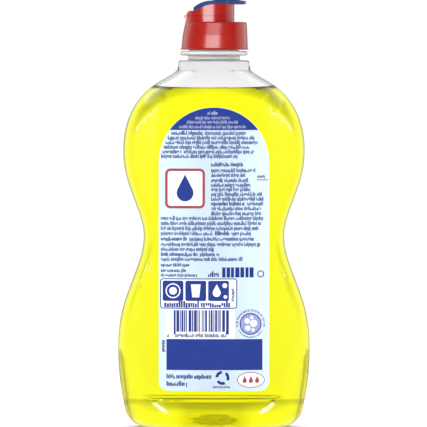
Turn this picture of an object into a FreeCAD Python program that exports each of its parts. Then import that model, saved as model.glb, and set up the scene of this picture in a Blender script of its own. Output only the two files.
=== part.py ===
import FreeCAD, Part
import math
import os

from FreeCAD import Vector

# A 450 ml dish soap bottle: a flat, waisted, clear blown bottle with a flat-fronted label panel on each face,
# a gel fill, one film label, and a push-on flip-top closure whose lid swings on a living hinge.
# Millimetres. +Z is up, +X runs along the bottle's width towards the lid's thumb tab, and the labelled
# face looks along -Y. The origin is the middle of the foot.

# Blown body, front outline: each station's rise above the one below it, and its half width
crease_height = 15.3
lower_bulge_rise = 21.7
lower_flank_rise = 23.0
lower_waist_rise = 18.0
waist_rise = 19.0
upper_waist_rise = 15.0
upper_flank_rise = 14.0
upper_bulge_rise = 14.5
shoulder_rise = 13.5
shoulder_turn_rise = 11.0
shoulder_slope_rise = 6.5
shoulder_root_rise = 4.0
body_top_rise = 2.8

foot_half_width = 42.3
crease_half_width = 45.75
lower_bulge_half_width = 48.0
lower_flank_half_width = 45.55
lower_waist_half_width = 39.2
waist_half_width = 35.2
upper_waist_half_width = 39.2
upper_flank_half_width = 43.9
upper_bulge_half_width = 45.3
shoulder_half_width = 42.8
shoulder_turn_half_width = 36.5
shoulder_slope_half_width = 29.2
shoulder_root_half_width = 22.5
body_top_radius = 18.5

# Blown body, depth: the two label panels, and how far the rounded body swells proud of them
panel_half_depth = 19.74
panel_radius = 113.0
heel_height = 8.0
foot_swell = 0.7
heel_swell = 1.3
crease_swell = 0.85
lower_bulge_swell = 0.9
waist_swell = 1.9
upper_bulge_swell = 1.45
shoulder_swell = 1.3
shoulder_turn_swell = 0.3
crease_slope_width = 1.3
crease_slope_height = 1.1

# Blown body, cross-section: 2 is an ellipse, and more is squarer
heel_squareness = 2.1
lower_bulge_squareness = 2.15
waist_squareness = 3.0
upper_bulge_squareness = 2.5
shoulder_turn_squareness = 2.35
top_squareness = 2.0

wall = 0.5
heel_side_radius = 8.7
heel_face_radius = 6.0
push_up_half_width = 28.0
push_up_half_depth = 11.0
push_up_height = 5.5

# Neck, turned about the Z axis and stacked on the body
collar_height = 5.05
collar_inset = 0.2
collar_taper = 0.7
collar_round = 1.3
neck_radius = 12.9
neck_bore_radius = 10.85
lower_neck_height = 2.35
neck_root_round = 0.8
support_ring_radius = 16.8
support_ring_thickness = 2.25
support_ring_round = 0.9
finish_radius = 12.5
finish_height = 12.65
snap_bead_drop = 8.6
snap_bead_rise = 0.65

# Gel fill, up to a level just over the shoulder's turn
fill_rise = 4.3
fill_gap = 0.1

# Film label on the -Y panel
label_half_width = 27.4
label_foot_margin = 3.8
label_head_margin = 11.5
label_corner = 4.4
label_thickness = 0.12
adhesive_thickness = 0.05

# Closure base: a skewed skirt, a snap sleeve, and a turret under the lid
skirt_clearance = 0.7
skirt_knee_rise = 7.1
skirt_bottom_radius = 16.65
skirt_knee_radius = 16.2
skirt_top_radius = 15.35
skirt_bottom_offset = 0.3
skirt_knee_offset = 0.55
skirt_top_offset = 1.05
skirt_lip = 0.5
skirt_lip_height = 0.75
skirt_top_round = 0.75
skirt_wall = 1.2
shoulder_thickness = 1.8
sleeve_clearance = 0.15
sleeve_wall = 1.1
sleeve_gap_depth = 8.35
snap_rib_rise = 0.5
snap_rib_thickness = 1.0
plug_clearance = 0.1
plug_wall = 1.1
plug_depth = 3.0
plug_lead = 0.3
deck_thickness = 1.3
turret_radius = 12.2
turret_offset = -1.97
turret_height = 2.95
spigot_clearance = 0.4
spigot_wall = 1.0
spigot_height = 0.6
nozzle_radius = 3.4
nozzle_height = 2.0
nozzle_round = 0.5
orifice_radius = 2.1
funnel_wall = 2.25

# Flip lid: a cup with a swept roof, a sealing pin and a hinge lug
seam_gap = 0.15
ledge_rise = 2.6
lid_rise = 5.9
lid_wall = 1.1
roof_thickness = 1.2
roof_foot_x = -9.2
roof_flat_x = 1.5
pin_clearance = 0.25
pin_wall = 0.6
pin_reach = 1.4

# Hinge: two lugs that meet at a thin web, moulded with the base, that the lid swings on
hinge_x = -14.8
hinge_half_width = 4.5
hinge_web_radius = 0.3
hinge_clearance = 0.1
lid_lug_slope = 2.25
base_lug_slope = 0.9
base_lug_drop = 1.85

# Second-colour cover on the lid, with the thumb tab and a low dome
cover_thickness = 1.75
cover_left = -10.25
cover_nose_drop = 3.5
cover_flat_x = -1.0
tab_reach = 16.15
tab_half_width = 6.5
tab_corner = 2.5
dome_offset = 6.4
dome_radius = 7.0
dome_step = 0.5
dome_rise = 1.0

# How far a cutting solid reaches past what it cuts
overshoot = 1.0

# Heights that follow from the stack
lower_bulge_height = crease_height + lower_bulge_rise
lower_flank_height = lower_bulge_height + lower_flank_rise
lower_waist_height = lower_flank_height + lower_waist_rise
waist_height = lower_waist_height + waist_rise
upper_waist_height = waist_height + upper_waist_rise
upper_flank_height = upper_waist_height + upper_flank_rise
upper_bulge_height = upper_flank_height + upper_bulge_rise
shoulder_height = upper_bulge_height + shoulder_rise
shoulder_turn_height = shoulder_height + shoulder_turn_rise
shoulder_slope_height = shoulder_turn_height + shoulder_slope_rise
shoulder_root_height = shoulder_slope_height + shoulder_root_rise
body_height = shoulder_root_height + body_top_rise
collar_top_height = body_height + collar_height
support_ring_bottom = collar_top_height + lower_neck_height
support_ring_top = support_ring_bottom + support_ring_thickness
neck_lip_height = support_ring_top + finish_height
fill_height = shoulder_turn_height + fill_rise
label_bottom = crease_height + label_foot_margin
label_top = shoulder_slope_height - label_head_margin
skirt_bottom = support_ring_top + skirt_clearance
skirt_knee_height = skirt_bottom + skirt_knee_rise
skirt_top = neck_lip_height + shoulder_thickness
parting_height = skirt_top + turret_height
ledge_height = parting_height + ledge_rise
lid_top = parting_height + lid_rise
cover_top = lid_top + cover_thickness

SECTION_POINTS = 24
HEEL_STEPS = 4
Z = Vector(0, 0, 1)
Y = Vector(0, 1, 0)


def height_curve(stations):
    """A smooth curve of a size against height. Its parameter is the height."""
    heights = [height for height, size in stations]
    points = [Vector(size, 0, height) for height, size in stations]
    curve = Part.BSplineCurve()
    curve.interpolate(Points=points, Parameters=heights)
    return curve


width_curve = height_curve([
    (0, foot_half_width),
    (crease_height, crease_half_width),
    (lower_bulge_height, lower_bulge_half_width),
    (lower_flank_height, lower_flank_half_width),
    (lower_waist_height, lower_waist_half_width),
    (waist_height, waist_half_width),
    (upper_waist_height, upper_waist_half_width),
    (upper_flank_height, upper_flank_half_width),
    (upper_bulge_height, upper_bulge_half_width),
    (shoulder_height, shoulder_half_width),
    (shoulder_turn_height, shoulder_turn_half_width),
    (shoulder_slope_height, shoulder_slope_half_width),
    (shoulder_root_height, shoulder_root_half_width),
    (body_height, body_top_radius),
])
depth_curve = height_curve([
    (0, panel_half_depth + foot_swell),
    (heel_height, panel_half_depth + heel_swell),
    (crease_height, panel_half_depth + crease_swell),
    (lower_bulge_height, panel_half_depth + lower_bulge_swell),
    (lower_flank_height, panel_half_depth + waist_swell),
    (waist_height, panel_half_depth + waist_swell),
    (upper_bulge_height, panel_half_depth + upper_bulge_swell),
    (shoulder_height, panel_half_depth + shoulder_swell),
    (shoulder_turn_height, panel_half_depth + shoulder_turn_swell),
    (body_height, body_top_radius),
])
squareness_curve = height_curve([
    (0, heel_squareness),
    (crease_height, heel_squareness),
    (lower_bulge_height, lower_bulge_squareness),
    (waist_height, waist_squareness),
    (upper_bulge_height, upper_bulge_squareness),
    (shoulder_turn_height, shoulder_turn_squareness),
    (body_height, top_squareness),
])


def heel_inset(height, radius):
    """How far the heel's round has drawn the wall in at a height."""
    if height >= radius:
        return 0
    return radius - math.sqrt(radius ** 2 - (radius - height) ** 2)


def inset_size(curve, height, heel, inset):
    """The curve's size at a height, less the heel's round and an inset measured square to the wall."""
    slope = curve.tangent(height)[0]
    return curve.value(height).x - heel_inset(height - inset, heel - inset) - inset / abs(slope.z)


def power(value, exponent):
    return math.copysign(abs(value) ** exponent, value)


def section(height, inset):
    """The body's closed outline at one height."""
    half_width = inset_size(width_curve, height, heel_side_radius, inset)
    half_depth = inset_size(depth_curve, height, heel_face_radius, inset)
    exponent = 2 / squareness_curve.value(height).x
    points = []
    for step in range(SECTION_POINTS):
        angle = 2 * math.pi * step / SECTION_POINTS
        x = half_width * power(math.cos(angle), exponent)
        y = half_depth * power(math.sin(angle), exponent)
        points.append(Vector(x, y, height))
    curve = Part.BSplineCurve()
    curve.interpolate(Points=points, PeriodicFlag=True, Parameters=list(range(SECTION_POINTS + 1)))
    return Part.Wire(curve.toShape())


def body_heights(inset):
    """The heights of the sections: close together round the heel, then each station and half way between."""
    stations = [
        heel_side_radius, crease_height, lower_bulge_height, lower_flank_height, lower_waist_height,
        waist_height, upper_waist_height, upper_flank_height, upper_bulge_height, shoulder_height,
        shoulder_turn_height, shoulder_slope_height, shoulder_root_height, body_height,
    ]
    heights = []
    for step in range(HEEL_STEPS):
        angle = 0.5 * math.pi * step / HEEL_STEPS
        heights.append(inset + (heel_side_radius - inset) * (1 - math.cos(angle)))
    heights.append(heel_side_radius)
    for low, high in zip(stations, stations[1:]):
        heights += [(low + high) / 2, high]
    return heights


def panel_outline(inset, height):
    """The outline between the two gently curved label panels, at one height."""
    reach = lower_bulge_half_width + overshoot
    depth = panel_half_depth - inset
    radius = panel_radius - inset
    side = depth - radius + math.sqrt(radius ** 2 - reach ** 2)
    front = Part.Arc(Vector(-reach, -side, height), Vector(0, -depth, height), Vector(reach, -side, height))
    back = Part.Arc(Vector(reach, side, height), Vector(0, depth, height), Vector(-reach, side, height))
    right = Part.LineSegment(Vector(reach, -side, height), Vector(reach, side, height))
    left = Part.LineSegment(Vector(-reach, side, height), Vector(-reach, -side, height))
    return Part.Wire([side_line.toShape() for side_line in (front, right, back, left)])


def panel_slab(inset):
    """All that the panels leave of the body: a slab between them, a sloping ledge, and the whole heel."""
    slab = Part.Face(panel_outline(inset, 0)).extrude(Z * (body_height + overshoot))
    ledge_top = crease_height - inset
    ledge_foot = ledge_top - crease_slope_height
    outlines = [panel_outline(inset - crease_slope_width, ledge_foot), panel_outline(inset, ledge_top)]
    ledge = Part.makeLoft(outlines, True, True)
    reach = lower_bulge_half_width + overshoot
    heel = Part.makeBox(2 * reach, 2 * reach, ledge_foot, Vector(-reach, -reach, 0))
    return slab.fuse([ledge, heel])


def body_solid(inset):
    """The blown body as a solid, shrunk by an inset on every wall."""
    body = Part.makeLoft([section(height, inset) for height in body_heights(inset)], True)
    return body.common(panel_slab(inset))


def push_up(grow):
    """The oval dome pressed up into the foot."""
    height = push_up_height + grow
    radius = push_up_half_width + grow
    ball = (radius ** 2 + height ** 2) / (2 * height)
    cap = Part.makeSphere(ball, Vector(0, 0, height - ball))
    cap = cap.common(Part.makeCylinder(radius + overshoot, height + overshoot))
    squash = FreeCAD.Matrix()
    squash.A22 = (push_up_half_depth + grow) / radius
    return cap.transformGeometry(squash)


def cylinder(radius, bottom, top, x=0.0):
    return Part.makeCylinder(radius, top - bottom, Vector(x, 0, bottom))


def cone(low_radius, high_radius, bottom, top):
    return Part.makeCone(low_radius, high_radius, top - bottom, Vector(0, 0, bottom))


def ring_edges(shape, height, radius):
    """The circular edges about Z at one height and radius."""
    found = []
    for edge in shape.Edges:
        box = edge.BoundBox
        level = box.ZLength < 0.01 and abs(box.ZMin - height) < 0.01
        if level and abs(box.XMax - radius) < 0.01:
            found.append(edge)
    return found


def neck_solid():
    """Collar, neck, support ring and snap finish, solid through."""
    collar_top_radius = body_top_radius - collar_inset - collar_taper
    collar = cone(body_top_radius - collar_inset, collar_top_radius, body_height, collar_top_height)
    collar = collar.makeFillet(collar_round, ring_edges(collar, collar_top_height, collar_top_radius))
    ring = cylinder(support_ring_radius, support_ring_bottom, support_ring_top)
    ring_rims = ring_edges(ring, support_ring_bottom, support_ring_radius)
    ring_rims += ring_edges(ring, support_ring_top, support_ring_radius)
    ring = ring.makeFillet(support_ring_round, ring_rims)
    lower_neck = cylinder(neck_radius, collar_top_height, support_ring_bottom)
    finish = cylinder(finish_radius, support_ring_top, neck_lip_height)
    stack = collar.fuse([lower_neck, ring, finish])
    roots = ring_edges(stack, collar_top_height, neck_radius) + ring_edges(stack, support_ring_bottom, neck_radius)
    stack = stack.makeFillet(neck_root_round, roots)
    bead_radius = finish_radius + snap_bead_rise
    bead_height = neck_lip_height - snap_bead_drop
    bead = cone(bead_radius, finish_radius, bead_height, bead_height + 2 * snap_bead_rise)
    bead = bead.fuse(cone(finish_radius, bead_radius, bead_height - snap_bead_rise, bead_height))
    return stack.fuse(bead)


def hollow(inset):
    """The space inside the bottle, from its floor to its lip."""
    inside = body_solid(inset).cut(push_up(inset))
    collar_radius = body_top_radius - collar_inset - inset
    collar = cone(collar_radius, collar_radius - collar_taper, body_height - inset, collar_top_height - inset)
    bore = cylinder(neck_bore_radius, body_height, neck_lip_height)
    return inside.fuse([collar, bore])


def bottle():
    outer = body_solid(0).cut(push_up(0)).fuse(neck_solid())
    return outer.cut(hollow(wall))


def dish_soap():
    """The gel, which fills the bottle to a level surface."""
    inset = wall + fill_gap
    reach = 2 * lower_bulge_half_width
    below = Part.makeBox(2 * reach, 2 * reach, fill_height, Vector(-reach, -reach, 0))
    return body_solid(inset).cut(push_up(inset)).common(below)


def back_label():
    """A film with a round-arched top, bent to the panel that it is stuck to."""
    arch_centre = label_top - label_half_width
    corner_shift = label_corner * (1 - math.sqrt(0.5))

    def point(x, z):
        return Vector(x, 0, z)

    side = label_half_width
    arch = Part.Arc(point(-side, arch_centre), point(0, label_top), point(side, arch_centre)).toShape()
    right = Part.LineSegment(point(side, arch_centre), point(side, label_bottom + label_corner)).toShape()
    right_corner = Part.Arc(
        point(side, label_bottom + label_corner),
        point(side - corner_shift, label_bottom + corner_shift),
        point(side - label_corner, label_bottom)).toShape()
    foot = Part.LineSegment(
        point(side - label_corner, label_bottom), point(label_corner - side, label_bottom)).toShape()
    left_corner = Part.Arc(
        point(label_corner - side, label_bottom),
        point(corner_shift - side, label_bottom + corner_shift),
        point(-side, label_bottom + label_corner)).toShape()
    left = Part.LineSegment(point(-side, label_bottom + label_corner), point(-side, arch_centre)).toShape()
    face = Part.Face(Part.Wire([arch, right, right_corner, foot, left_corner, left]))
    blank = face.extrude(Y * -2 * panel_half_depth)
    axis_foot = Vector(0, panel_radius - panel_half_depth, 0)
    inner_radius = panel_radius + adhesive_thickness
    outside = Part.makeCylinder(inner_radius + label_thickness, body_height, axis_foot)
    inside = Part.makeCylinder(inner_radius, body_height, axis_foot)
    return blank.common(outside.cut(inside))


def skirt_circle(radius, offset, height):
    circle = Part.Circle(Vector(offset, 0, height), Z, radius)
    return Part.Wire(circle.toShape())


def skirt_stack(thickness, top):
    """The skewed skirt's outside, or with a thickness its inside, up to a height."""
    circles = [
        skirt_circle(skirt_bottom_radius - thickness, skirt_bottom_offset, skirt_bottom),
        skirt_circle(skirt_knee_radius - thickness, skirt_knee_offset, skirt_knee_height),
        skirt_circle(skirt_top_radius - thickness, skirt_top_offset, top),
    ]
    return Part.makeLoft(circles, True, True)


def hinge_pin(radius):
    """A rod along the hinge's axis, half way up the seam between base and lid."""
    foot = Vector(hinge_x, -hinge_half_width, parting_height + seam_gap / 2)
    return Part.makeCylinder(radius, 2 * hinge_half_width, foot, Y)


def base_lug():
    """The wedge under the hinge's web, run back into the turret."""
    low = parting_height - base_lug_drop
    points = [
        (hinge_x - hinge_web_radius, parting_height), (hinge_x + base_lug_slope, low),
        (turret_offset, low), (turret_offset, parting_height)]
    outline = [Vector(x, -hinge_half_width, z) for x, z in points]
    face = Part.Face(Part.makePolygon(outline + outline[:1]))
    return face.extrude(Y * 2 * hinge_half_width)


def closure_base():
    skirt = skirt_stack(0, skirt_top)
    rim = [e for e in skirt.Edges if e.BoundBox.ZMin > skirt_top - 0.01]
    skirt = skirt.makeFillet(skirt_top_round, rim)
    lip = Part.makeCone(
        skirt_bottom_radius + skirt_lip, skirt_bottom_radius, skirt_lip_height,
        Vector(skirt_bottom_offset, 0, skirt_bottom))
    turret = cylinder(turret_radius, skirt_top - overshoot, parting_height, turret_offset)
    spigot_radius = turret_radius - lid_wall - spigot_clearance
    spigot = cylinder(spigot_radius, parting_height - overshoot, parting_height + spigot_height, turret_offset)
    spigot = spigot.cut(
        cylinder(spigot_radius - spigot_wall, parting_height, parting_height + 2 * spigot_height, turret_offset))
    nozzle = cylinder(nozzle_radius, parting_height - deck_thickness, parting_height + nozzle_height)
    nozzle = nozzle.makeFillet(nozzle_round, ring_edges(nozzle, parting_height + nozzle_height, nozzle_radius))
    block = skirt.fuse([lip, turret, base_lug(), hinge_pin(hinge_web_radius), spigot, nozzle])

    bore_radius = finish_radius + snap_bead_rise + sleeve_clearance
    bore = cylinder(bore_radius, skirt_bottom - overshoot, neck_lip_height)
    gap_top = skirt_bottom + sleeve_gap_depth
    gap = skirt_stack(skirt_wall, skirt_top).common(cylinder(2 * skirt_bottom_radius, skirt_bottom, gap_top))
    gap = gap.cut(cylinder(bore_radius + sleeve_wall, skirt_bottom, skirt_top))
    funnel_radius = neck_bore_radius - funnel_wall
    funnel = cylinder(funnel_radius, neck_lip_height, parting_height - deck_thickness)
    orifice = cylinder(orifice_radius, neck_lip_height, parting_height + nozzle_height + overshoot)
    block = block.cut(bore.fuse([gap, funnel, orifice]))

    rib_top = neck_lip_height - snap_bead_drop - snap_bead_rise - sleeve_clearance
    rib = cylinder(bore_radius, rib_top - snap_rib_thickness, rib_top)
    rib = rib.cut(cylinder(bore_radius - snap_rib_rise, skirt_bottom, neck_lip_height))
    plug_radius = neck_bore_radius - plug_clearance
    plug = cylinder(plug_radius, neck_lip_height - plug_depth, neck_lip_height)
    plug = plug.makeChamfer(plug_lead, ring_edges(plug, neck_lip_height - plug_depth, plug_radius))
    plug = plug.cut(cylinder(plug_radius - plug_wall, skirt_bottom, neck_lip_height))
    return block.fuse([rib, plug])


def sweep(foot, flat):
    """An arc that rises from its foot and runs out level where the flat starts."""
    run = flat.x - foot.x
    rise = flat.z - foot.z
    radius = (run ** 2 + rise ** 2) / (2 * rise)
    half_turn = 0.5 * math.atan2(run, radius - rise)
    middle = flat - Vector(radius * math.sin(half_turn), 0, radius * (1 - math.cos(half_turn)))
    return Part.Arc(foot, middle, flat).toShape()


def roof_profile(drop, low, reach=2 * skirt_bottom_radius):
    """The lid's side outline under its swept roof, in the XZ plane, lowered by a drop."""
    foot = Vector(roof_foot_x + drop, 0, ledge_height - drop)
    flat = Vector(roof_flat_x + drop, 0, lid_top - drop)
    lug_foot = Vector(hinge_x + drop, 0, parting_height + seam_gap)
    corners = [
        flat, Vector(reach, 0, flat.z), Vector(reach, 0, low), Vector(lug_foot.x, 0, low), lug_foot,
        Vector(lug_foot.x + lid_lug_slope, 0, foot.z), foot]
    edges = [sweep(foot, flat)]
    for start, end in zip(corners, corners[1:]):
        edges.append(Part.LineSegment(start, end).toShape())
    return Part.Face(Part.Wire(edges))


def across(face):
    """A side outline extruded through the whole closure, from front to back."""
    face.translate(Y * -2 * skirt_bottom_radius)
    return face.extrude(Y * 4 * skirt_bottom_radius)


def flip_lid():
    low = parting_height + seam_gap
    cup = cylinder(turret_radius, low, lid_top + overshoot, turret_offset)
    lug_length = turret_offset - hinge_x
    lug = Part.makeBox(lug_length, 2 * hinge_half_width, lid_top - low, Vector(hinge_x, -hinge_half_width, low))
    cup = cup.fuse(lug).common(across(roof_profile(0, low - overshoot)))
    cup = cup.cut(hinge_pin(hinge_web_radius + hinge_clearance))
    inside = cylinder(turret_radius - lid_wall, low - overshoot, lid_top, turret_offset)
    inside = inside.common(across(roof_profile(roof_thickness, low - 2 * overshoot)))
    pin_radius = orifice_radius - pin_clearance
    pin_bottom = parting_height + nozzle_height - pin_reach
    pin = cylinder(pin_radius, pin_bottom, lid_top - roof_thickness / 2)
    pin = pin.makeChamfer(pin_clearance, ring_edges(pin, pin_bottom, pin_radius))
    pin = pin.cut(cylinder(pin_radius - pin_wall, pin_bottom, lid_top - roof_thickness))
    return cup.cut(inside).fuse(pin)


def cover_profile():
    """The cover's side outline: a swept band over the roof that runs on as the thumb tab."""
    half = cover_thickness / 2
    nose = Vector(cover_left, 0, cover_top - cover_nose_drop)
    flat = Vector(cover_flat_x, 0, cover_top)
    tab_top = Vector(tab_reach - half, 0, cover_top)
    tab_bottom = Vector(tab_reach - half, 0, lid_top)
    tab_end = Part.Arc(tab_top, Vector(tab_reach, 0, lid_top + half), tab_bottom).toShape()
    corners = [tab_bottom, Vector(tab_bottom.x, 0, ledge_height), Vector(cover_left, 0, ledge_height), nose]
    edges = [sweep(nose, flat), Part.LineSegment(flat, tab_top).toShape(), tab_end]
    for start, end in zip(corners, corners[1:]):
        edges.append(Part.LineSegment(start, end).toShape())
    return Part.Face(Part.Wire(edges))


def cover_plan():
    """The cover seen from above: the lid's circle, with the tab run out of it."""
    bottom = ledge_height - 1
    top = cover_top + 1
    disc = cylinder(turret_radius, bottom, top, turret_offset)
    length = tab_reach - turret_offset
    tab = Part.makeBox(length, 2 * tab_half_width, top - bottom, Vector(turret_offset, -tab_half_width, bottom))
    tab = tab.common(cylinder(tab_reach, bottom, top))
    ends = [e for e in tab.Edges if e.BoundBox.ZLength > 1 and e.BoundBox.XMin > turret_offset + 1]
    tab = tab.makeFillet(tab_corner, ends)
    plan = disc.fuse(tab)
    roots = []
    for edge in plan.Edges:
        box = edge.BoundBox
        root = box.ZLength > 1 and box.XLength < 0.01 and abs(abs(box.YMin) - tab_half_width) < 0.01
        if root and turret_offset + 1 < box.XMin < turret_offset + turret_radius:
            roots.append(edge)
    return plan.makeFillet(tab_corner, roots)


def lid_cover():
    band = across(cover_profile()).common(cover_plan())
    band = band.cut(across(roof_profile(0, parting_height, tab_reach - cover_thickness / 2)))
    step_top = cover_top + dome_step
    step = cylinder(dome_radius, lid_top + cover_thickness / 2, step_top, dome_offset)
    ball = (dome_radius ** 2 + dome_rise ** 2) / (2 * dome_rise)
    dome = Part.makeSphere(ball, Vector(dome_offset, 0, step_top + dome_rise - ball))
    dome = dome.common(cylinder(dome_radius, step_top, step_top + 2 * dome_rise, dome_offset))
    return band.fuse([step, dome])


def main():
    os.makedirs("parts", exist_ok=True)
    pieces = {
        "bottle": bottle,
        "dish_soap": dish_soap,
        "back_label": back_label,
        "closure_base": closure_base,
        "flip_lid": flip_lid,
        "lid_cover": lid_cover,
    }
    for name, make in pieces.items():
        shape = make()
        if shape.ShapeType == "Compound" and len(shape.Solids) == 1:
            shape = shape.Solids[0]
        shape.exportStep(os.path.join("parts", name + ".step"))
        print(name, len(shape.Solids), shape.isValid(), round(shape.Volume, 1))


main()
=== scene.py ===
import math
import random

import bmesh
import bpy
from mathutils import Matrix, Vector
from mathutils.bvhtree import BVHTree


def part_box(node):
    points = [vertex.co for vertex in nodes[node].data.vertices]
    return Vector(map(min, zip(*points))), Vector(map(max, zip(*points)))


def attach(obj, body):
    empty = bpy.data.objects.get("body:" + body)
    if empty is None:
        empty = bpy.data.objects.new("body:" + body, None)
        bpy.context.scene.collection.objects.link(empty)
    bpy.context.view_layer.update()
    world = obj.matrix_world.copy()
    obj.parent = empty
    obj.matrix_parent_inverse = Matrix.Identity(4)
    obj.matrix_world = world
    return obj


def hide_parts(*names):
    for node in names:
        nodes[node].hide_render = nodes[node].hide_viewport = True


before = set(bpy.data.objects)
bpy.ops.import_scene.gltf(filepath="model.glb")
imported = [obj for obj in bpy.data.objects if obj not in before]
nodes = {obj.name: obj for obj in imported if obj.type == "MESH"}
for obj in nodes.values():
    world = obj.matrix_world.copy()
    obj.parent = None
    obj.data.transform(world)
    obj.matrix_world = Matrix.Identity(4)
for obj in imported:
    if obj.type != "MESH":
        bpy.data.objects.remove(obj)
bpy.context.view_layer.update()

random.seed(7)

# Sizes and places in mm, unless a name says otherwise
MM = 0.001

# Colours as 0 to 255 screen values
RED_PLASTIC = (126, 19, 12)
RED_PLASTIC_DEEP = (120, 16, 10)
BLUE_PLASTIC = (27, 63, 116)
BLUE_PLASTIC_DEEP = (23, 57, 107)
LABEL_MIDDLE = (196, 213, 228)
LABEL_EDGE = (212, 232, 244)
INK_BLUE = (34, 58, 142)
INK_BLUE_DEEP = (31, 54, 136)
INK_TEXT = (30, 48, 134)
INK_PALE = (150, 158, 212)
INK_RED = (168, 74, 86)
INK_WHITE = (252, 252, 252)
INK_SOFT_WHITE = (188, 194, 222)
# Painted grey shade that the clear plastic takes on over the shoulder and neck
CLEAR_PAINTED_SHADE_GREY = (244, 244, 245)
# Painted shade for the line where the gel's edge climbs the wall
GEL_RIM_PAINTED_SHADE = (104, 106, 84)
# Painted olive shade for the gel low down in the heel
GEL_HEEL_PAINTED_SHADE = (222, 219, 210)

# Bottle and soap: pairs are where a change begins and where it is complete
# Where the clear plastic's painted grey shade fades in, up the shoulder
CLEAR_SHADE_FADES_IN = (164, 181)
CLEAR_TURNS_MILKY = (182, 184.5)
MILKY_TRANSMISSION = 0.7
# Where the gel's painted rim shade lies, above its level surface
RIM_SHADE_ABOVE_SURFACE = (0.03, 0.12)
# Where the gel's painted olive shade lies: in the middle of the heel, and in a band under the crease
HEEL_SHADE_SHARE = 0.75
HEEL_SHADE_FADES_ASIDE = (12, 18)
HEEL_SHADE_FADES_UP = (11, 14)
CREASE_SHADE_BEGINS = (11, 12.8)
CREASE_SHADE_ENDS = (14.2, 14.7)
STRIP_STEP = 4.0
HEEL_STEP = 1.3
HEEL_TOP = 15.5
SHARPEST_SOFT_CREASE = 60
WALL_OVERLAP = 0.2
BAND_WIDEST = 5.5
BAND_TOP = 14.4
BAND_HALF_WIDTH = 40.0
BAND_LEAN = 0.8
BAND_CURVE = 1.25
BAND_INNERMOST = 10.0
NEARLY_LEVEL = 0.01
MENISCUS_WIDTH = 1.6
MENISCUS_RISE = 0.35
MENISCUS_END_RISE = 1.4
SOAP_ABSORBED = (1.0, 0.998, 0.0, 1.0)
SOAP_DENSITY = 150.0

# Print on the label
CURVE_STEP = 1.6
INK_THICKNESS = 0.02
LEVEL_FIELD = 0.02
LEVEL_INK = 0.035
LEVEL_TOP = 0.05

# Where a stroke of small print starts and ends, as shares of the row's height
FULL_STROKE = (0, 1)
STROKE_SPANS = [FULL_STROKE, FULL_STROKE, FULL_STROKE, FULL_STROKE, (0, 0.85), (0.1, 1),
                (0, 1.4), (0, 1.4), (-0.35, 1), (0.35, 1), (0, 0.6)]
TALLEST_SMALL_PRINT = 4.0

# Surroundings, as strengths of light
SURROUNDINGS = 1.2
BACKDROP = 1.05
SHINE_THROUGH = 1.04
SHINE_THROUGH_ASIDE = 0.55
LOW_IN_THE_MIDDLE = 0.1
HIGH_UP = 0.8
REFLECTED_IN_FRONT = 0.04
REFLECTED_STRAIGHT_BEHIND = 0.4
FEWEST_WALLS_CROSSED = 3.5

# Floor, in metres
FLOOR_HALF_WIDTH = 6.0
FLOOR_LEVEL = -0.0002

# Camera
CAMERA_DISTANCE = 2500
CAMERA_ELEVATION = 1.5
SENSOR_WIDTH = 36
FRAME_WIDTH = 213.5
AIM = (-0.22, 0, 106.75)


def linear(red, green, blue):
    """A colour of 0 to 255 screen values, in the renderer's own linear values."""
    channels = [value / 255 for value in (red, green, blue)]
    curved = [c / 12.92 if c <= 0.04045 else ((c + 0.055) / 1.055) ** 2.4 for c in channels]
    return (*curved, 1.0)


# Materials

def new_material(name):
    material = bpy.data.materials.new(name)
    material.use_nodes = True
    tree = material.node_tree
    return material, tree, tree.nodes["Principled BSDF"]


def noise(tree, scale, detail=3.0):
    """Noise fixed to the object, with its scale in cells per metre."""
    place = tree.nodes.new("ShaderNodeTexCoord")
    texture = tree.nodes.new("ShaderNodeTexNoise")
    texture.inputs["Scale"].default_value = scale
    texture.inputs["Detail"].default_value = detail
    tree.links.new(place.outputs["Object"], texture.inputs["Vector"])
    return texture.outputs["Fac"]


def place_along(tree, axis):
    """The place along one of the object's axes, in metres."""
    place = tree.nodes.new("ShaderNodeTexCoord")
    split = tree.nodes.new("ShaderNodeSeparateXYZ")
    tree.links.new(place.outputs["Object"], split.inputs["Vector"])
    return split.outputs[axis]


def maths(tree, operation, *values):
    """The result of an operation on sockets and plain numbers."""
    node = tree.nodes.new("ShaderNodeMath")
    node.operation = operation
    for place, value in enumerate(values):
        if isinstance(value, float):
            node.inputs[place].default_value = value
        else:
            tree.links.new(value, node.inputs[place])
    return node.outputs["Value"]


def spread(tree, source, low, high, source_low=0.3, source_high=0.7):
    """The source's range mapped to low to high, and held at these beyond it."""
    mapped = tree.nodes.new("ShaderNodeMapRange")
    mapped.inputs["From Min"].default_value = source_low
    mapped.inputs["From Max"].default_value = source_high
    mapped.inputs["To Min"].default_value = low
    mapped.inputs["To Max"].default_value = high
    tree.links.new(source, mapped.inputs["Value"])
    return mapped.outputs["Result"]


def fade(tree, source, low, high, between_mm):
    """As spread, over a pair of places in mm."""
    begins, ends = between_mm
    return spread(tree, source, low, high, begins * MM, ends * MM)


def two_shades(tree, source, first, second):
    ramp = tree.nodes.new("ShaderNodeValToRGB")
    ramp.color_ramp.elements[0].color = linear(*first)
    ramp.color_ramp.elements[1].color = linear(*second)
    tree.links.new(source, ramp.inputs["Fac"])
    return ramp.outputs["Color"]


def tinted(tree, share, source, tint):
    """The source's colour mixed with a tint by a share."""
    mix = tree.nodes.new("ShaderNodeMix")
    mix.data_type = "RGBA"
    tree.links.new(share, mix.inputs["Factor"])
    tree.links.new(source, mix.inputs[6])
    mix.inputs[7].default_value = linear(*tint)
    return mix.outputs[2]


def relief(tree, shader, source, depth):
    """Fine relief on the surface, with its depth in mm."""
    bump = tree.nodes.new("ShaderNodeBump")
    bump.inputs["Distance"].default_value = depth * MM
    tree.links.new(source, bump.inputs["Height"])
    tree.links.new(bump.outputs["Normal"], shader.inputs["Normal"])


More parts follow.
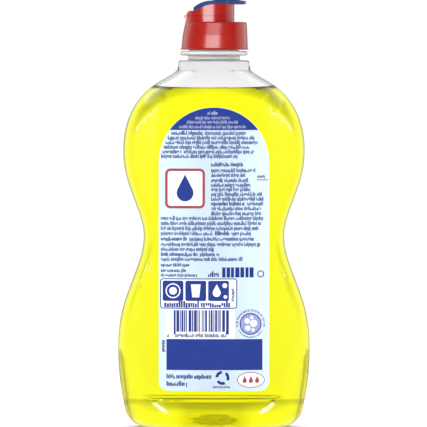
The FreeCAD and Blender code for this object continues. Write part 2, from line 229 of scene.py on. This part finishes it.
def moulded_plastic(name, main, deep, gloss_low, gloss_high):
    """Glossy moulded plastic: a slow drift of colour, a faint texture and an uneven gloss."""
    material, tree, shader = new_material(name)
    drift = spread(tree, noise(tree, 70.0), 0.0, 1.0)
    tree.links.new(two_shades(tree, drift, main, deep), shader.inputs["Base Color"])
    gloss = spread(tree, noise(tree, 420.0), gloss_low, gloss_high)
    tree.links.new(gloss, shader.inputs["Roughness"])
    relief(tree, shader, noise(tree, 900.0, 2.0), 0.012)
    shader.inputs["IOR"].default_value = 1.49
    return material


def clear_plastic(name):
    """Blown clear plastic, with the slight waves and uneven polish of its inside and outside."""
    material, tree, shader = new_material(name)
    shader.inputs["Transmission Weight"].default_value = 1.0
    shader.inputs["IOR"].default_value = 1.5
    shader.inputs["Specular Tint"].default_value = (0.35, 0.35, 0.35, 1.0)
    height = place_along(tree, "Z")
    # Painted grey shade in the clear plastic's colour, fading in up the shoulder towards the neck
    painted_grey_shade = fade(tree, height, 0.0, 1.0, CLEAR_SHADE_FADES_IN)
    tree.links.new(two_shades(tree, painted_grey_shade, (255, 255, 255), CLEAR_PAINTED_SHADE_GREY), shader.inputs["Base Color"])
    milky = fade(tree, height, 1.0, MILKY_TRANSMISSION, CLEAR_TURNS_MILKY)
    tree.links.new(milky, shader.inputs["Transmission Weight"])
    gloss = spread(tree, noise(tree, 160.0), 0.06, 0.1)
    tree.links.new(gloss, shader.inputs["Roughness"])
    relief(tree, shader, noise(tree, 55.0, 1.0), 0.03)
    return material


def clear_gel(name, surface):
    """Yellow gel that takes the blue out of what shines through it.

    It is darker with painted shade where its edge climbs the wall, low down in the middle of the heel, and
    in a band under the heel's crease.
    """
    material, tree, shader = new_material(name)
    shader.inputs["Transmission Weight"].default_value = 1.0
    shader.inputs["IOR"].default_value = 1.37
    shader.inputs["Specular Tint"].default_value = (0.15, 0.15, 0.15, 1.0)
    shader.inputs["Roughness"].default_value = 0.0
    drift = spread(tree, noise(tree, 30.0, 1.0), 0.0, 1.0)
    clear = two_shades(tree, drift, (255, 255, 250), (255, 255, 246))
    height = place_along(tree, "Z")
    # Painted shade along the line where the gel's edge climbs the wall
    above = maths(tree, "SUBTRACT", height, surface)
    rim = fade(tree, above, 0.0, 1.0, RIM_SHADE_ABOVE_SURFACE)
    aside = maths(tree, "ABSOLUTE", place_along(tree, "X"))
    # Painted olive shade low in the middle of the heel and in a band just under the crease
    middle = maths(tree, "MULTIPLY", fade(tree, aside, HEEL_SHADE_SHARE, 0.0, HEEL_SHADE_FADES_ASIDE),
                   fade(tree, height, 1.0, 0.0, HEEL_SHADE_FADES_UP))
    band = maths(tree, "MULTIPLY", fade(tree, height, 0.0, 1.0, CREASE_SHADE_BEGINS),
                 fade(tree, height, 1.0, 0.0, CREASE_SHADE_ENDS))
    painted_heel_shade = maths(tree, "MAXIMUM", middle, band)
    shades = tinted(tree, painted_heel_shade, tinted(tree, rim, clear, GEL_RIM_PAINTED_SHADE), GEL_HEEL_PAINTED_SHADE)
    tree.links.new(shades, shader.inputs["Base Color"])
    absorption = tree.nodes.new("ShaderNodeVolumeAbsorption")
    absorption.inputs["Color"].default_value = SOAP_ABSORBED
    absorption.inputs["Density"].default_value = SOAP_DENSITY
    output = tree.nodes["Material Output"]
    tree.links.new(absorption.outputs["Volume"], output.inputs["Volume"])
    return material


def label_film(name, half_width):
    """Pale blue printed film, lighter towards its two upright edges."""
    material, tree, shader = new_material(name)
    aside = maths(tree, "ABSOLUTE", place_along(tree, "X"))
    lighter = spread(tree, aside, 0.0, 1.0, 0.2 * half_width, half_width)
    tree.links.new(two_shades(tree, lighter, LABEL_MIDDLE, LABEL_EDGE), shader.inputs["Base Color"])
    gloss = spread(tree, noise(tree, 500.0), 0.3, 0.4)
    tree.links.new(gloss, shader.inputs["Roughness"])
    shader.inputs["Specular IOR Level"].default_value = 0.3
    relief(tree, shader, noise(tree, 260.0, 2.0), 0.01)
    return material


def ink(name, main, deep):
    """Printing ink, with the slight unevenness of a screen print."""
    material, tree, shader = new_material(name)
    drift = spread(tree, noise(tree, 240.0), 0.0, 1.0)
    tree.links.new(two_shades(tree, drift, main, deep), shader.inputs["Base Color"])
    gloss = spread(tree, noise(tree, 800.0), 0.3, 0.42)
    tree.links.new(gloss, shader.inputs["Roughness"])
    shader.inputs["Specular IOR Level"].default_value = 0.3
    relief(tree, shader, noise(tree, 1500.0, 1.0), 0.004)
    return material


# Meshes

def add_piece(name, mesh, material, body):
    piece = bpy.data.objects.new(name, mesh)
    bpy.context.scene.collection.objects.link(piece)
    mesh.materials.clear()
    mesh.materials.append(material)
    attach(piece, body)
    return piece


def paint(node, material):
    nodes[node].data.materials.clear()
    nodes[node].data.materials.append(material)


def ray_tree(node):
    return BVHTree.FromObject(nodes[node], bpy.context.evaluated_depsgraph_get())


def finer_copy(node, name):
    """A node's mesh under a new name and as a bmesh, with its seams closed and its long strips cut up."""
    mesh = nodes[node].data.copy()
    mesh.name = name
    mesh.attributes.remove(mesh.attributes["custom_normal"])
    fine = bmesh.new()
    fine.from_mesh(mesh)
    bmesh.ops.remove_doubles(fine, verts=fine.verts, dist=0.001 * MM)
    bmesh.ops.recalc_face_normals(fine, faces=fine.faces)
    strips = [face for face in fine.faces if highest(face) - lowest(face) > 1.2 * cut_step(lowest(face))]
    level = cut_step(0)
    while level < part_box(node)[1].z:
        around = {part for face in strips for part in (*face.verts, *face.edges, face)}
        cut = bmesh.ops.bisect_plane(fine, geom=list(around), plane_co=(0, 0, level), plane_no=(0, 0, 1))
        faces = [part for part in cut["geom"] if isinstance(part, bmesh.types.BMFace)]
        strips = [face for face in faces if highest(face) > level + NEARLY_LEVEL * MM]
        level += cut_step(level)
    return mesh, fine


def cut_step(level):
    """The distance between cuts at a level, both in metres."""
    return (HEEL_STEP if level < HEEL_TOP * MM else STRIP_STEP) * MM


def lowest(face):
    return min(vert.co.z for vert in face.verts)


def highest(face):
    return max(vert.co.z for vert in face.verts)


def slope_band(fine):
    """The heel band drawn in from its widest level up to the crease, so that it leans back a little."""
    low, high = BAND_WIDEST * MM, BAND_TOP * MM
    for vert in fine.verts:
        share = (vert.co.z - low) / (high - low)
        across = abs(vert.co.x) / (BAND_HALF_WIDTH * MM)
        if 0 < share <= 1 and across < 1 and abs(vert.co.y) > BAND_INNERMOST * MM:
            lean = BAND_LEAN * MM * share ** BAND_CURVE * (1 - across ** 4)
            vert.co.y -= math.copysign(lean, vert.co.y)


def soft_creases(fine):
    """Smooth shading over all but the sharpest edges."""
    for face in fine.faces:
        face.smooth = True
    for edge in fine.edges:
        edge.smooth = edge.calc_face_angle(0.0) < math.radians(SHARPEST_SOFT_CREASE)


def bottle_piece(material):
    mesh, fine = finer_copy("bottle", "clear_bottle")
    slope_band(fine)
    soft_creases(fine)
    fine.to_mesh(mesh)
    fine.free()
    piece = add_piece("clear_bottle", mesh, material, "bottle_body")
    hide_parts("bottle")
    return piece


def soap_piece(material):
    """The gel, grown slightly into the wall that holds it, so that light passes from one to the other.

    The edge of its level surface is raised along the wall, most at the bottle's two narrow sides.
    """
    mesh, grown = finer_copy("dish_soap", "soap_gel")
    slope_band(grown)
    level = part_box("dish_soap")[1].z - NEARLY_LEVEL * MM

    def in_the_wall(face):
        return face.calc_center_median().z < level

    for vert in grown.verts:
        outward = vert.normal.copy()
        if vert.co.z > level:
            outward.z = 0.0
            outward.normalize()
        vert.co += outward * WALL_OVERLAP * MM
    surface = [face for face in grown.faces if face.calc_center_median().z > level]
    bmesh.ops.inset_region(grown, faces=surface, thickness=MENISCUS_WIDTH * MM, use_even_offset=True)
    rim = [vert for vert in grown.verts if vert.co.z > level and any(map(in_the_wall, vert.link_faces))]
    reach = max(vert.co.x for vert in rim)
    for vert in rim:
        wall = sum((face.normal for face in vert.link_faces if in_the_wall(face)), Vector()).normalized()
        along = Vector((0, 0, 1)) - wall * wall.z
        end = abs(vert.co.x / reach) ** 3
        rise = MENISCUS_RISE + (MENISCUS_END_RISE - MENISCUS_RISE) * end
        vert.co += along * (rise * MM / along.z)
    soft_creases(grown)
    grown.to_mesh(mesh)
    grown.free()
    piece = add_piece("soap_gel", mesh, material, "bottle_body")
    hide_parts("dish_soap")
    return piece


# Flat shapes for the print, as lists of outlines of (x, z) points

def rectangle(left, low, right, high):
    return [[(left, low), (right, low), (right, high), (left, high)]]


def rounded(left, low, right, high, radius, steps=6):
    corners = [(right - radius, low + radius, -90), (right - radius, high - radius, 0),
               (left + radius, high - radius, 90), (left + radius, low + radius, 180)]
    points = []
    for x, z, start in corners:
        for step in range(steps + 1):
            angle = math.radians(start + 90 * step / steps)
            points.append((x + radius * math.cos(angle), z + radius * math.sin(angle)))
    return [points]


def disc(x, z, radius, steps=28):
    turns = [2 * math.pi * step / steps for step in range(steps)]
    return [[(x + radius * math.cos(turn), z + radius * math.sin(turn)) for turn in turns]]


def between(outer, inner):
    """The band between two outlines that have as many points."""
    band = []
    for here in range(len(outer)):
        there = (here + 1) % len(outer)
        band.append([outer[here], outer[there], inner[there], inner[here]])
    return band


def ring(x, z, outer, inner, steps=36):
    return between(disc(x, z, outer, steps)[0], disc(x, z, inner, steps)[0])


def drop(x, z, radius, height, steps=22):
    """A water drop: a round foot that narrows to a point at the given height above its middle."""
    tangent = math.acos(radius / height)
    points = [(x, z + height)]
    for step in range(steps + 1):
        turn = math.pi / 2 + tangent + (2 * math.pi - 2 * tangent) * step / steps
        points.append((x + radius * math.cos(turn), z + radius * math.sin(turn)))
    return [points]


def segment(x, z, outer, inner, first, last, steps=10):
    """A stretch of a ring between two angles in degrees."""
    turns = [math.radians(first + (last - first) * step / steps) for step in range(steps + 1)]
    points = [(x + outer * math.cos(turn), z + outer * math.sin(turn)) for turn in turns]
    points += [(x + inner * math.cos(turn), z + inner * math.sin(turn)) for turn in reversed(turns)]
    return [points]


def oval(x, z, half_width, half_height, steps=32):
    return [[(x + half_width * a, z + half_height * b) for a, b in disc(0, 0, 1, steps)[0]]]


def words(left, right, foot, x_height, weight):
    """A row of groups of separate upright strokes, which stands for small print and spells nothing."""
    strokes = []
    x = left
    while x < right - x_height * weight:
        for _ in range(random.randint(5, 17)):
            stroke = x_height * weight * random.uniform(0.8, 1.2)
            if x > right - stroke:
                break
            low, high = random.choice(STROKE_SPANS) if x_height < TALLEST_SMALL_PRINT else FULL_STROKE
            strokes += rectangle(x, foot + low * x_height, x + stroke, foot + high * x_height)
            x += stroke + x_height * random.uniform(0.08, 0.14)
        x += 0.3 * x_height
    return strokes


def turned_up(strokes, x, z):
    """Strokes that run along a row turned a quarter, to run up from a place."""
    return [[(x - up, z + along) for along, up in outline] for outline in strokes]


def print_piece(name, shapes, level, material):
    """Thin slabs of ink laid on the curved label, one closed solid for each shape."""
    sheet = bmesh.new()
    for outline in shapes:
        corners = [sheet.verts.new((x * MM, 0, z * MM)) for x, z in outline]
        sheet.faces.new(corners)
    bmesh.ops.remove_doubles(sheet, verts=sheet.verts, dist=0.0005 * MM)
    reach = max(abs(vert.co.x) for vert in sheet.verts) / MM
    cut = -reach + CURVE_STEP / 2
    while cut < reach:
        everything = sheet.verts[:] + sheet.edges[:] + sheet.faces[:]
        bmesh.ops.bisect_plane(sheet, geom=everything, plane_co=(cut * MM, 0, 0), plane_no=(1, 0, 0))
        cut += CURVE_STEP
    bmesh.ops.recalc_face_normals(sheet, faces=sheet.faces)
    for face in sheet.faces:
        if face.normal.y > 0:
            face.normal_flip()
    back = {vert: label_surface(vert.co.x, vert.co.z) for vert in sheet.verts}
    front_faces = sheet.faces[:]
    copied = bmesh.ops.duplicate(sheet, geom=front_faces)
    twins = copied["vert_map"]
    rim = [edge for edge in {e for face in front_faces for e in face.edges} if len(edge.link_faces) == 1]
    for edge in rim:
        first, second = edge.verts
        sheet.faces.new((first, second, twins[second], twins[first]))
    for vert, surface in back.items():
        twin = twins[vert]
        vert.co.y = surface - level * MM
        twin.co.y = surface - (level - INK_THICKNESS) * MM
    bmesh.ops.recalc_face_normals(sheet, faces=sheet.faces)
    mesh = bpy.data.meshes.new(name)
    sheet.to_mesh(mesh)
    sheet.free()
    return add_piece(name, mesh, material, "bottle_body")


label_rays = ray_tree("back_label")


def label_surface(x, z):
    """The label's outer face at a place on it, as its y in metres."""
    hit = label_rays.ray_cast(Vector((x, -0.1, z)), Vector((0, 1, 0)))[0]
    if hit is None:
        nearest = label_rays.find_nearest(Vector((x, -0.02, z)))[0]
        inside = Vector((nearest.x * 0.999, -0.1, nearest.z))
        hit = label_rays.ray_cast(inside, Vector((0, 1, 0)))[0] or nearest
    return hit.y


# The print

def arch_field():
    """The dark field that fills the label's arch."""
    foot, reach, crown = 148.65, 22.0, 159.75
    rise = crown - foot
    radius = (reach ** 2 + rise ** 2) / (2 * rise)
    half_turn = math.asin(reach / radius)
    points = []
    for step in range(33):
        turn = half_turn - 2 * half_turn * step / 32
        points.append((radius * math.sin(turn), crown - radius + radius * math.cos(turn)))
    return [points]


def small_print():
    """The rows of small print as (foot, left, right, x-height, weight)."""
    fine, bold = 0.25, 0.33
    rows = [
        (146.25, -21.1, -5.6, 1.5, bold), (146.25, -4.6, 15.9, 1.5, fine),
        (143.9, -22.9, 20.1, 1.5, fine), (141.6, -24.0, 21.9, 1.5, fine),
        (139.3, -24.9, 17.6, 1.5, fine), (137.0, -25.5, -16.0, 1.5, bold),
        (137.0, -15.0, 19.8, 1.5, fine), (134.75, -26.2, 11.6, 1.5, fine),
        (130.6, -1.4, 14.7, 1.5, bold), (127.7, -1.4, 20.9, 1.5, fine),
        (125.35, -1.4, 15.8, 1.5, fine), (122.75, -1.4, 4.3, 1.5, bold),
        (122.75, 5.2, 17.4, 1.5, fine), (120.45, -1.4, 18.5, 1.5, fine),
        (118.25, -1.4, 19.1, 1.5, fine), (115.9, -1.4, 24.3, 1.5, fine),
        (113.55, -1.4, 24.9, 1.5, fine), (111.2, -1.4, 15.5, 1.5, bold),
        (111.2, 16.4, 24.6, 1.5, fine), (108.8, -1.4, 23.4, 1.5, fine),
        (106.3, -1.4, 23.4, 1.5, fine), (103.95, -26.4, 24.6, 1.5, fine),
        (101.45, -26.4, 23.6, 1.5, fine), (98.95, -26.4, 22.4, 1.5, fine),
        (96.4, -26.4, -0.3, 1.5, fine), (96.4, 0.5, 7.8, 1.5, bold),
        (96.4, 8.7, 18.8, 1.5, fine), (93.7, -26.4, -13.2, 1.5, bold),
        (93.7, -12.2, 20.1, 1.5, fine), (91.0, -26.4, 23.2, 1.5, fine),
        (88.6, -26.4, 0.3, 1.5, fine), (86.05, -26.4, -7.9, 1.5, bold),
        (86.05, -7.0, 3.0, 1.5, fine), (83.65, -26.4, 14.3, 1.5, fine),
        (80.85, -26.4, -12.0, 1.3, bold), (78.15, -26.4, -13.5, 1.3, bold),
        (75.9, -26.4, -8.2, 1.1, fine),
        (124.9, 21.5, 25.5, 1.1, fine),
        (25.2, -23.6, -1.0, 1.7, bold), (21.55, -23.6, -13.0, 1.7, bold),
        (20.6, -0.6, 8.0, 0.8, fine),
        (75.75, -2.9, 3.0, 2.0, bold), (75.5, 4.1, 20.7, 5.0, 0.36),
        (60.7, -24.7, 8.4, 2.2, 0.42),
        (45.7, -23.3, -21.9, 1.7, fine), (45.7, -19.2, 6.6, 1.7, fine),
    ]
    strokes = rectangle(21.3, 123.7, 26.9, 124.1)
    strokes += turned_up(words(0, 6.5, 0, 1.2, bold), 10.1, 63.7)
    strokes += turned_up(words(0, 6.3, 0, 1.2, bold), -24.6, 38.5)
    strokes += ring(23.2, 77.2, 1.75, 1.25)
    for first in (95, 215, 335):
        strokes += segment(4.2, 25.65, 3.5, 2.1, first, first + 80)
    for foot, left, right, x_height, weight in rows:
        strokes += words(left, right, foot, x_height, weight)
    return strokes


def headline():
    """The four centred rows in white on the dark arch."""
    strokes = []
    middle = -0.65
    rows = ((156.3, 5.3, 0.14), (153.95, 17.2, 0.1), (151.85, 25.5, 0.1), (149.5, 33.2, 0.1))
    for foot, width, weight in rows:
        strokes += words(middle - width / 2, middle + width / 2, foot, 1.25, weight)
    return strokes


def bars():
    """Upright bars of uneven width, in step with nothing, the two outermost longer than the rest."""
    shapes = []
    left, right = -20.0, 7.4
    foot, outer_foot, top = 48.5, 47.2, 59.25
    x = left
    while x < right:
        wide = random.choice((0.5, 0.7, 1.0, 1.4))
        outermost = x < left + 1 or x + wide > right - 1
        shapes += rectangle(x, outer_foot if outermost else foot, min(x + wide, right), top)
        x += wide + random.choice((0.3, 0.35, 0.5, 0.75))
    return shapes


def ring_of_strokes(x, z, outer, inner, first, last, step):
    """Short strokes that stand round a circle, as small print does."""
    shapes = []
    angle = first
    while angle < last:
        wide = step * random.uniform(0.4, 0.6)
        shapes += segment(x, z, outer, inner + random.choice((0, 0, 0.25)), angle, angle + wide, 2)
        angle += step * random.choice((1, 1, 1, 1.6))
    return shapes


def build_print():
    blue = ink("ink_blue", INK_BLUE, INK_BLUE_DEEP)
    text = ink("ink_text", INK_TEXT, INK_BLUE_DEEP)
    pale = ink("ink_pale", INK_PALE, (144, 152, 206))
    red = ink("ink_red", INK_RED, (160, 68, 80))
    white = ink("ink_white", INK_WHITE, (246, 248, 250))
    sign_x, sign_z, sign_half, sign_rim = -14.35, 119.65, 9.9, 1.3
    sign = rounded(sign_x - sign_half, sign_z - sign_half, sign_x + sign_half, sign_z + sign_half, 2.6)
    inner_half = sign_half - sign_rim
    sign_inside = rounded(sign_x - inner_half, sign_z - inner_half,
                          sign_x + inner_half, sign_z + inner_half, sign_rim)
    badge_x, badge_z = 18.2, 52.4
    pill_x, pill_z = 18.35, 24.55
    pill = oval(pill_x, pill_z, 6.9, 3.9)
    squares = [(left, 63.8, left + 10.35, 73.9) for left in (-25.5, -14.2, -2.9)]
    frame_outer = rounded(-26.75, 60.0, 11.55, 75.0, 1.6)
    frame_inner = rounded(-26.25, 60.5, 11.05, 74.5, 1.1)

    white_fields = sign_inside + frame_inner
    white_fields += rectangle(-23.9, 45.15, 10.3, 59.7)
    white_fields += disc(badge_x, badge_z, 5.2)
    white_fields += pill
    print_piece("print_white_fields", white_fields, LEVEL_FIELD, white)

    red_shapes = between(sign[0], sign_inside[0])
    red_shapes += between(pill[0], oval(pill_x, pill_z, 6.5, 3.5)[0])
    for step in (-1, 0, 1):
        red_shapes += drop(pill_x + 3.1 * step, pill_z - 0.5, 1.05, 2.5)
    print_piece("print_red_shapes", red_shapes, LEVEL_INK, red)

    blue_fields = arch_field() + bars()
    blue_fields += rectangle(-23.6, 29.45, 24.1, 44.85)
    blue_fields += drop(sign_x, sign_z - 2.2, 4.2, 9.2)
    for square in squares:
        blue_fields += rounded(*square, 1.0)
    blue_fields += between(frame_outer[0], frame_inner[0])
    blue_fields += ring(badge_x, badge_z, 5.45, 4.85)
    print_piece("print_blue_fields", blue_fields, LEVEL_INK, blue)
    print_piece("print_pale_disc", disc(badge_x, badge_z, 4.8), LEVEL_INK, pale)

    badge_strokes = ring_of_strokes(badge_x, badge_z, 7.3, 6.15, -12, 192, 5.0)
    badge_strokes += ring_of_strokes(badge_x, badge_z, 7.0, 6.2, 208, 332, 3.6)
    print_piece("print_small_rows", small_print() + badge_strokes, LEVEL_INK, text)

    soft_white = ink("ink_soft_white", INK_SOFT_WHITE, (180, 187, 218))
    print_piece("print_headline", headline(), LEVEL_TOP, soft_white)

    white_shapes = []
    bubbles = ((-1.7, 1.5, 1.35), (1.5, 0.3, 1.8), (-1.4, -2.1, 1.3), (1.2, -3.0, 0.8), (0.6, 3.2, 0.8))
    for x, z, radius in bubbles:
        white_shapes += disc(badge_x + x, badge_z + z, radius, 20)
    plate_x, glass_x, drop_x = [(square[0] + square[2]) / 2 for square in squares]
    icon_z = (squares[0][1] + squares[0][3]) / 2
    white_shapes += ring(plate_x, icon_z, 3.7, 3.15) + disc(plate_x, icon_z, 1.9)
    white_shapes += [[(glass_x - 2.4, icon_z + 3.2), (glass_x - 1.7, icon_z - 3.2),
                      (glass_x + 1.7, icon_z - 3.2), (glass_x + 2.4, icon_z + 3.2)]]
    white_shapes += drop(drop_x - 0.9, icon_z - 1.0, 2.0, 4.3)
    white_shapes += disc(drop_x + 3.1, icon_z + 2.6, 1.2, 20) + disc(drop_x + 3.4, icon_z - 3.0, 0.9, 20)
    print_piece("print_white_shapes", white_shapes, LEVEL_TOP, white)


# Build

red_plastic = moulded_plastic("red_plastic", RED_PLASTIC, RED_PLASTIC_DEEP, 0.19, 0.25)
blue_plastic = moulded_plastic("blue_plastic", BLUE_PLASTIC, BLUE_PLASTIC_DEEP, 0.26, 0.34)
paint("back_label", label_film("pale_label_film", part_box("back_label")[1].x))
paint("closure_base", red_plastic)
paint("flip_lid", red_plastic)
paint("lid_cover", blue_plastic)
clear_bottle = bottle_piece(clear_plastic("clear_bottle_plastic"))
soap_gel = soap_piece(clear_gel("yellow_gel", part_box("dish_soap")[1].z))
build_print()


# Stage, light and camera

def floor():
    """A pale floor, which stays out of reflections and of what shines through the bottle."""
    mesh = bpy.data.meshes.new("floor")
    half = FLOOR_HALF_WIDTH
    corners = [(x, y, FLOOR_LEVEL) for x, y in ((-half, -half), (half, -half), (half, half), (-half, half))]
    mesh.from_pydata(corners, [], [(0, 1, 2, 3)])
    plane = bpy.data.objects.new("floor", mesh)
    bpy.context.scene.collection.objects.link(plane)
    material, tree, shader = new_material("pale_floor")
    shades = two_shades(tree, spread(tree, noise(tree, 8.0), 0.0, 1.0), (246, 246, 246), (242, 242, 242))
    tree.links.new(shades, shader.inputs["Base Color"])
    shader.inputs["Roughness"].default_value = 0.7
    shader.inputs["Specular IOR Level"].default_value = 0.1
    mesh.materials.append(material)
    plane.visible_glossy = False
    plane.visible_transmission = False
    plane.visible_shadow = False
    return plane


def studio_world():
    """White surroundings for the camera and for what shines through the bottle, and dimmer reflections.

    What shines through gets darker far aside, high up, and low down in the middle.
    """
    world = bpy.data.worlds.new("studio")
    bpy.context.scene.world = world
    world.use_nodes = True
    tree = world.node_tree
    background = tree.nodes["Background"]
    background.inputs["Color"].default_value = (1.0, 1.0, 1.0, 1.0)
    path = tree.nodes.new("ShaderNodeLightPath")
    place = tree.nodes.new("ShaderNodeTexCoord")
    split = tree.nodes.new("ShaderNodeSeparateXYZ")
    tree.links.new(place.outputs["Generated"], split.inputs["Vector"])
    direction_x, direction_y, direction_z = (split.outputs[axis] for axis in "XYZ")
    aside = maths(tree, "ABSOLUTE", direction_x)
    through = spread(tree, aside, SHINE_THROUGH, SHINE_THROUGH_ASIDE, 0.7, 0.98)
    low = maths(tree, "MAXIMUM", spread(tree, aside, LOW_IN_THE_MIDDLE, 1.0, 0.22, 0.5),
                spread(tree, direction_z, 0.0, 1.0, -0.34, -0.045))
    high = spread(tree, direction_z, 1.0, HIGH_UP, 0.25, 0.7)
    through = maths(tree, "MULTIPLY", maths(tree, "MULTIPLY", through, low), high)

    def choose(test, otherwise, value):
        """The value for rays that pass the test, and otherwise what was chosen before."""
        mix = tree.nodes.new("ShaderNodeMix")
        tree.links.new(test, mix.inputs["Factor"])
        for socket, setting in ((mix.inputs["A"], otherwise), (mix.inputs["B"], value)):
            if isinstance(setting, float):
                socket.default_value = setting
            else:
                tree.links.new(setting, socket)
        return mix.outputs["Result"]

    behind = spread(tree, direction_y, REFLECTED_IN_FRONT, 1.0, -0.2, 0.6)
    straight_behind = spread(tree, direction_y, 1.0, REFLECTED_STRAIGHT_BEHIND, 0.75, 0.95)
    mirrored = maths(tree, "MULTIPLY", behind, straight_behind)
    crossed = maths(tree, "GREATER_THAN", path.outputs["Transmission Depth"], FEWEST_WALLS_CROSSED)
    strength = choose(path.outputs["Is Glossy Ray"], SURROUNDINGS, mirrored)
    strength = choose(path.outputs["Is Transmission Ray"], strength, choose(crossed, behind, through))
    strength = choose(path.outputs["Is Camera Ray"], strength, BACKDROP)
    tree.links.new(strength, background.inputs["Strength"])


def softbox(name, lit, azimuth, elevation, distance, width, height, power, target_height, roll=0):
    """A soft light panel that looks at a height on the middle line.

    The angles are in degrees, the azimuth from the camera's side and positive to the right. The distance
    and the panel's size are in metres, and the target's height is in mm.
    """
    light = bpy.data.lights.new(name, "AREA")
    light.shape = "RECTANGLE"
    light.size = width
    light.size_y = height
    light.energy = power
    lamp = bpy.data.objects.new(name, light)
    bpy.context.scene.collection.objects.link(lamp)
    turn, rise = math.radians(azimuth), math.radians(elevation)
    away = Vector((math.sin(turn) * math.cos(rise), -math.cos(turn) * math.cos(rise), math.sin(rise)))
    target = Vector((0, 0, target_height * MM))
    lamp.location = target + away * distance
    facing = away.to_track_quat("Z", "Y").to_matrix()
    lamp.rotation_euler = (facing @ Matrix.Rotation(math.radians(roll), 3, "Z")).to_euler()
    lamp.visible_camera = False
    lamp.visible_transmission = False
    lamp.light_linking.receiver_collection = lit


def receivers(name, *lit):
    """The only objects that a light falls on."""
    group = bpy.data.collections.new(name)
    for piece in lit:
        group.objects.link(piece)
    return group


def camera():
    data = bpy.data.cameras.new("camera")
    data.sensor_width = SENSOR_WIDTH
    data.lens = SENSOR_WIDTH * CAMERA_DISTANCE / FRAME_WIDTH
    data.clip_end = 100
    view = bpy.data.objects.new("camera", data)
    bpy.context.scene.collection.objects.link(view)
    rise = math.radians(CAMERA_ELEVATION)
    away = Vector((0, -math.cos(rise), math.sin(rise)))
    view.location = Vector(AIM) * MM + away * CAMERA_DISTANCE * MM
    view.rotation_euler = away.to_track_quat("Z", "Y").to_euler()
    bpy.context.scene.camera = view


ground = floor()
studio_world()
cover = nodes["lid_cover"]
red_pieces = (nodes["closure_base"], nodes["flip_lid"])
closure_lit = receivers("closure_lit", *red_pieces, cover)
red_lit = receivers("red_lit", *red_pieces)
clear_lit = receivers("bottle_lit", clear_bottle, soap_gel)
floor_lit = receivers("floor_lit", ground)
softbox("front_strip", red_lit, -8, -1, 1.2, 1.12, 0.42, 19, 190)
softbox("front_strip_high", closure_lit, -8, 16, 1.2, 1.12, 0.3, 4, 190)
softbox("right_panel", closure_lit, 112, 0, 1.2, 1.4, 0.9, 3, 190)
softbox("left_panel", closure_lit, -122, 0, 1.2, 0.8, 0.9, 1.3, 190)
softbox("left_sky", clear_lit, -104, 45, 1.2, 1.1, 0.5, 8, 160)
softbox("right_sky", clear_lit, 104, 45, 1.2, 1.1, 0.5, 5, 160)
softbox("left_low_strip", clear_lit, -50, 7.3, 8.0, 5.8, 0.5, 450, 12, -11)
softbox("right_low_strip", clear_lit, 50, 7.3, 8.0, 5.8, 0.5, 340, 12, 11)
softbox("floor_light", floor_lit, 0, 90, 2.4, 3.0, 3.0, 35, 190)
camera()
bpy.context.scene.view_settings.view_transform = "Standard"
bpy.context.scene.cycles.max_bounces = 28
bpy.context.scene.cycles.transmission_bounces = 24
